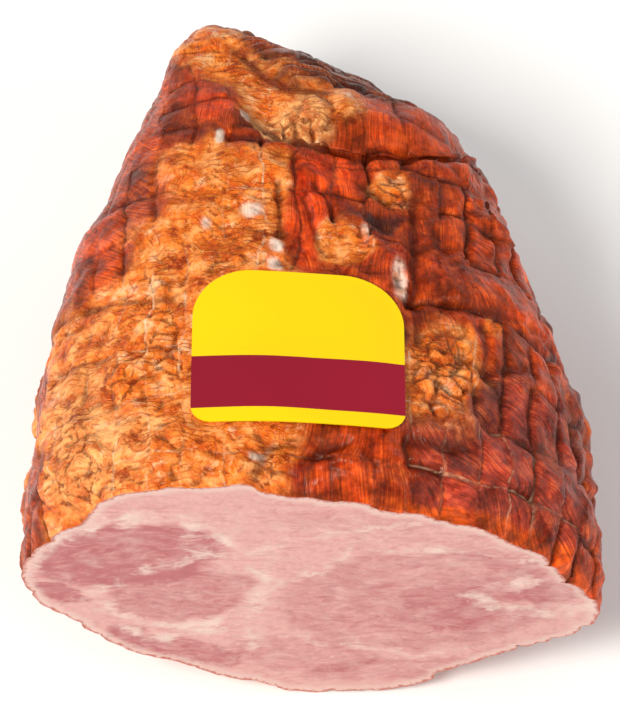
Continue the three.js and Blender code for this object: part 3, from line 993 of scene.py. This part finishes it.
class SMOKEDHAM_OT_meat(bpy.types.Operator):
    """Makes the meat: its smoked surface with the net's print, and its cut face"""

    bl_idname = "smokedham.meat"
    bl_label = "Meat"

    def execute(self, context):
        sizes, colours = context.scene.smokedham_sizes, context.scene.smokedham_colours
        skin = Skin(divided_mesh(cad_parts["ham"], sizes.subdivisions))
        mesh = skin.mesh
        mesh.name = "ham_meat"

        names, weights = finish_weights(skin)
        fat = weights[:, [names.index(name) for name in FAT]].sum(1)
        fat = skin.softened(fat, 2)
        signed, high = past_fold(skin)
        dry, red, orange, pale = (
            weights[:, names.index(name)] for name in ("end_brown", "red_lean", "orange_lean", "pale_fat")
        )
        flank = ramp(-skin.round, 14, 26) * (1 - ramp(-skin.round, 70, 100)) * ramp(skin.along, 60, 80)
        calm = np.maximum(dry + 0.7 * red + 0.9 * orange, 0.9 * flank)
        calm = skin.softened(np.maximum(calm, 0.9 * high * ramp(signed, 0, 5)), 12)
        net = NetPrint(skin, sizes)
        moved, shade_depth = shaped(skin, sizes, net, fat, calm, skin.softened(dry, 6))
        inset = cut_follows(skin, moved)
        mesh.vertices.foreach_set("co", (moved * MM).ravel())
        mesh.update()

        # How hollow the surface is, at two sizes: the pork material paints shade into the hollows.
        normals = read(mesh.vertices, "normal", 3)
        offset = [
            moved - np.stack([skin.softened(moved[:, axis], turns) for axis in range(3)], 1)
            for turns in (5, 40)
        ]
        relief, swell = ((move * normals).sum(1) for move in offset)
        tint = weights @ np.array([getattr(colours, name)[:] for name in names])
        # Each lean cell of the net gets its own random tone, and painted shade darkens it towards the cords'
        # grooves, so the pillows' middles are lighter.
        tone = skin.softened(0.66 + 0.6 * chance(net.cell, 6), 10) * (0.7 + 0.42 * net.bulge)
        tint *= (fat + (1 - fat) * tone)[:, None]
        store(mesh, "tint", np.c_[tint, np.ones(len(tint))], "FLOAT_COLOR", "color")

        shown = 0.05 + 0.95 * fat * (1 - calm) + 0.3 * weights[:, names.index("purple_lean")]
        shown *= 1.3 * ramp(chance(net.cell, 9), 0.35, 0.9)
        store(mesh, "net", np.stack([net.hoop_gap, net.rib_gap, shown], 1), "FLOAT_VECTOR", "vector")
        slant = 6 + 45 * ramp(np.abs(skin.round), 14, 44) + 50 * (chance(net.cell, 5) - 0.5) * (1 - calm)
        slant = np.radians(slant)
        bow = 0.03 * net.local**2 * (2 * chance(net.cell, 8) - 1)
        across = skin.round * np.cos(slant) + skin.along * np.sin(slant) + bow
        length_way = skin.along * np.cos(slant) - skin.round * np.sin(slant)
        store(mesh, "grain", np.stack([across, length_way, 0 * across], 1), "FLOAT_VECTOR", "vector")

        deep, seam = cut_pattern(moved)
        values = {
            "fat": fat * (1 - 0.85 * pale),
            "lean": 1 - fat,
            "relief": relief,
            # Where the pork material paints shade: the creases' shade depth, or the broad hollows.
            "hollow": np.maximum(shade_depth, -swell * 1.6),
            "inset": inset,
            "deep": deep,
            "seam": seam,
        }
        for name, numbers in values.items():
            store(mesh, name, numbers)

        piece = linked("ham_meat", mesh)
        mesh.materials.clear()
        mesh.materials.append(smoked_pork(colours))
        mesh.materials.append(cut_pork(colours))
        mesh.polygons.foreach_set("material_index", skin.cut_faces.astype(np.int32))
        mesh.polygons.foreach_set("use_smooth", np.ones(len(mesh.polygons), bool))
        rim = np.zeros(len(skin.points), bool)
        rim[skin.rim] = True
        sharp = rim[skin.edges].all(1)
        mesh.attributes.new("sharp_edge", "BOOLEAN", "EDGE").data.foreach_set("value", sharp)
        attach(piece, "root")
        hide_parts("ham")
        return {"FINISHED"}


class SMOKEDHAM_OT_label(bpy.types.Operator):
    """Makes the paper label, bent over the meat's back"""

    bl_idname = "smokedham.label"
    bl_label = "Label"

    # The paper's mesh: its height over the CAD meat in mm, its rings, the steps round a corner, the
    # points of a ring and how often it is smoothed. Rays down to the meat start this high, in metres.
    GAP = 0.5
    RINGS = 20
    CORNER_STEPS = 12
    RING_POINTS = 112
    SMOOTHINGS = 6
    RAY_FROM = 0.3

    def execute(self, context):
        sizes, colours = context.scene.smokedham_sizes, context.scene.smokedham_colours
        middle, half = label_outline()
        outline = []
        corners = (
            (1, -1, NEAR_CORNER, -90),
            (1, 1, FAR_CORNER, 0),
            (-1, 1, FAR_CORNER, 90),
            (-1, -1, NEAR_CORNER, 180),
        )
        for side, end, radius, first in corners:
            centre = (side * (half[0] - radius), end * (half[1] - radius))
            for step in range(self.CORNER_STEPS + 1):
                turn = math.radians(first + step * 90 / self.CORNER_STEPS)
                outline.append((centre[0] + radius * math.cos(turn), centre[1] + radius * math.sin(turn)))
        outline = self.evenly(np.array(outline), self.RING_POINTS)

        node_shape = bmesh.new()
        node_shape.from_mesh(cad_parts["ham"].data)
        tree = BVHTree.FromBMesh(node_shape)
        node_shape.free()

        shape = bmesh.new()
        shares = [1 - ring / self.RINGS for ring in range(self.RINGS + 1)]
        rows = [[self.laid(shape, tree, middle + spot * share) for spot in outline] for share in shares]
        for row, inner in zip(rows, rows[1:]):
            for i in range(self.RING_POINTS):
                after = (i + 1) % self.RING_POINTS
                shape.faces.new((row[i], row[after], inner[after], inner[i]))
        bmesh.ops.remove_doubles(shape, verts=shape.verts, dist=0.005 * MM)
        for _ in range(self.SMOOTHINGS):
            bmesh.ops.smooth_vert(shape, verts=shape.verts, factor=0.5, use_axis_z=True)
        mesh = bpy.data.meshes.new("label_paper")
        shape.to_mesh(mesh)
        shape.free()
        piece = linked("label_paper", mesh)
        paper = piece.modifiers.new("Paper", "SOLIDIFY")
        paper.thickness = sizes.label_thickness
        paper.offset = 1
        mesh = bpy.data.meshes.new_from_object(piece.evaluated_get(context.evaluated_depsgraph_get()))
        piece.modifiers.clear()
        piece.data = mesh
        share = (read(mesh.vertices, "co", 3)[:, 1] / MM - middle[1]) / (2 * half[1]) + 0.5
        store(mesh, "share", share)
        mesh.materials.append(coated_paper(colours))
        mesh.polygons.foreach_set("use_smooth", np.ones(len(mesh.polygons), bool))
        mesh.set_sharp_from_angle(angle=math.radians(40))
        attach(piece, "root")
        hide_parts("label")
        return {"FINISHED"}

    @staticmethod
    def evenly(outline, count):
        """The closed outline as points at even distances."""
        closed = np.vstack([outline, outline[:1]])
        reach = np.concatenate([[0], np.cumsum(np.linalg.norm(np.diff(closed, axis=0), axis=1))])
        stops = np.arange(count) / count * reach[-1]
        return np.stack([np.interp(stops, reach, closed[:, axis]) for axis in (0, 1)], 1)

    def laid(self, shape, tree, spot):
        """A point of the paper, just above the meat's back."""
        above = Vector((spot[0] * MM, spot[1] * MM, self.RAY_FROM))
        hit = tree.ray_cast(above, Vector((0, 0, -1)))[0]
        return shape.verts.new((above.x, above.y, hit.z + self.GAP * MM))


class SMOKEDHAM_OT_stage(bpy.types.Operator):
    """Makes the plain floor, the soft lights and the camera"""

    bl_idname = "smokedham.stage"
    bl_label = "Stage"

    # Name, place in metres, size, power in watts and colour of each light.
    LIGHTS = (
        ("key_light", (-0.6, -0.7, 1.15), 0.5, 18.5, "FFFAF3"),
        ("fill_light", (0.9, -0.7, 0.7), 0.9, 4.5, "FFFFFF"),
        ("left_back_light", (-1.0, 0.7, 0.5), 0.6, 3.5, "FFFFFF"),
        ("right_back_light", (1.1, 0.7, 0.5), 0.6, 2.5, "FFFFFF"),
    )
    AMBIENT = 0.38
    # The floor, in metres: half its side, and how far it lies below the meat.
    FLOOR_HALF, FLOOR_DROP = 6, 0.0002
    # The camera: degrees above the floor, distance in metres, lens and sensor in mm, and the point
    # it looks at.
    ELEVATION = 57
    DISTANCE = 1.2
    LENS = 230.9
    SENSOR = 36
    TARGET = (-0.0011, -0.0129, 0.045)

    def execute(self, context):
        floor_mesh = bpy.data.meshes.new("floor")
        shape = bmesh.new()
        bmesh.ops.create_grid(shape, x_segments=1, y_segments=1, size=self.FLOOR_HALF)
        shape.to_mesh(floor_mesh)
        shape.free()
        floor = linked("floor", floor_mesh)
        floor.location.z = -self.FLOOR_DROP
        floor_mesh.materials.append(pale_floor())

        for name, place, size, power, tone in self.LIGHTS:
            lamp = bpy.data.lights.new(name, "AREA")
            lamp.size, lamp.energy, lamp.color = size, power, linear(tone)
            light = linked(name, lamp)
            light.location = place
            light.rotation_euler = (-Vector(place)).to_track_quat("-Z", "Y").to_euler()

        world = bpy.data.worlds.new("studio")
        world.use_nodes = True
        background = world.node_tree.nodes["Background"]
        plug(world.node_tree, background, {"Color": (1, 1, 1, 1), "Strength": self.AMBIENT})
        context.scene.world = world
        context.scene.view_settings.view_transform = "Standard"

        camera_data = bpy.data.cameras.new("camera")
        camera_data.lens, camera_data.sensor_width = self.LENS, self.SENSOR
        camera = linked("camera", camera_data)
        tilt = math.radians(self.ELEVATION)
        away = Vector((0, -math.cos(tilt), math.sin(tilt))) * self.DISTANCE
        camera.location = Vector(self.TARGET) + away
        camera.rotation_euler = (math.pi / 2 - tilt, 0, 0)
        context.scene.camera = camera
        return {"FINISHED"}


class SMOKEDHAM_PT_panel(bpy.types.Panel):
    """Lists what can be made, and the sizes and colours it is made with"""

    bl_idname = "SMOKEDHAM_PT_panel"
    bl_label = "Smoked ham"
    bl_space_type = "VIEW_3D"
    bl_region_type = "UI"
    bl_category = "Smoked ham"

    def draw(self, context):
        for operator in OPERATORS:
            self.layout.operator(operator.bl_idname)
        for group in (context.scene.smokedham_sizes, context.scene.smokedham_colours):
            box = self.layout.box()
            for name in group.__annotations__:
                box.prop(group, name)


OPERATORS = (SMOKEDHAM_OT_stage, SMOKEDHAM_OT_meat, SMOKEDHAM_OT_label)
CLASSES = (SmokedHamSizes, SmokedHamColours, *OPERATORS, SMOKEDHAM_PT_panel)


def register():
    for cls in CLASSES:
        bpy.utils.register_class(cls)
    bpy.types.Scene.smokedham_sizes = PointerProperty(type=SmokedHamSizes)
    bpy.types.Scene.smokedham_colours = PointerProperty(type=SmokedHamColours)


def unregister():
    del bpy.types.Scene.smokedham_colours
    del bpy.types.Scene.smokedham_sizes
    for cls in reversed(CLASSES):
        bpy.utils.unregister_class(cls)


def main():
    register()
    bpy.ops.smokedham.stage()
    bpy.ops.smokedham.meat()
    bpy.ops.smokedham.label()


if __name__ == "__main__":
    main()
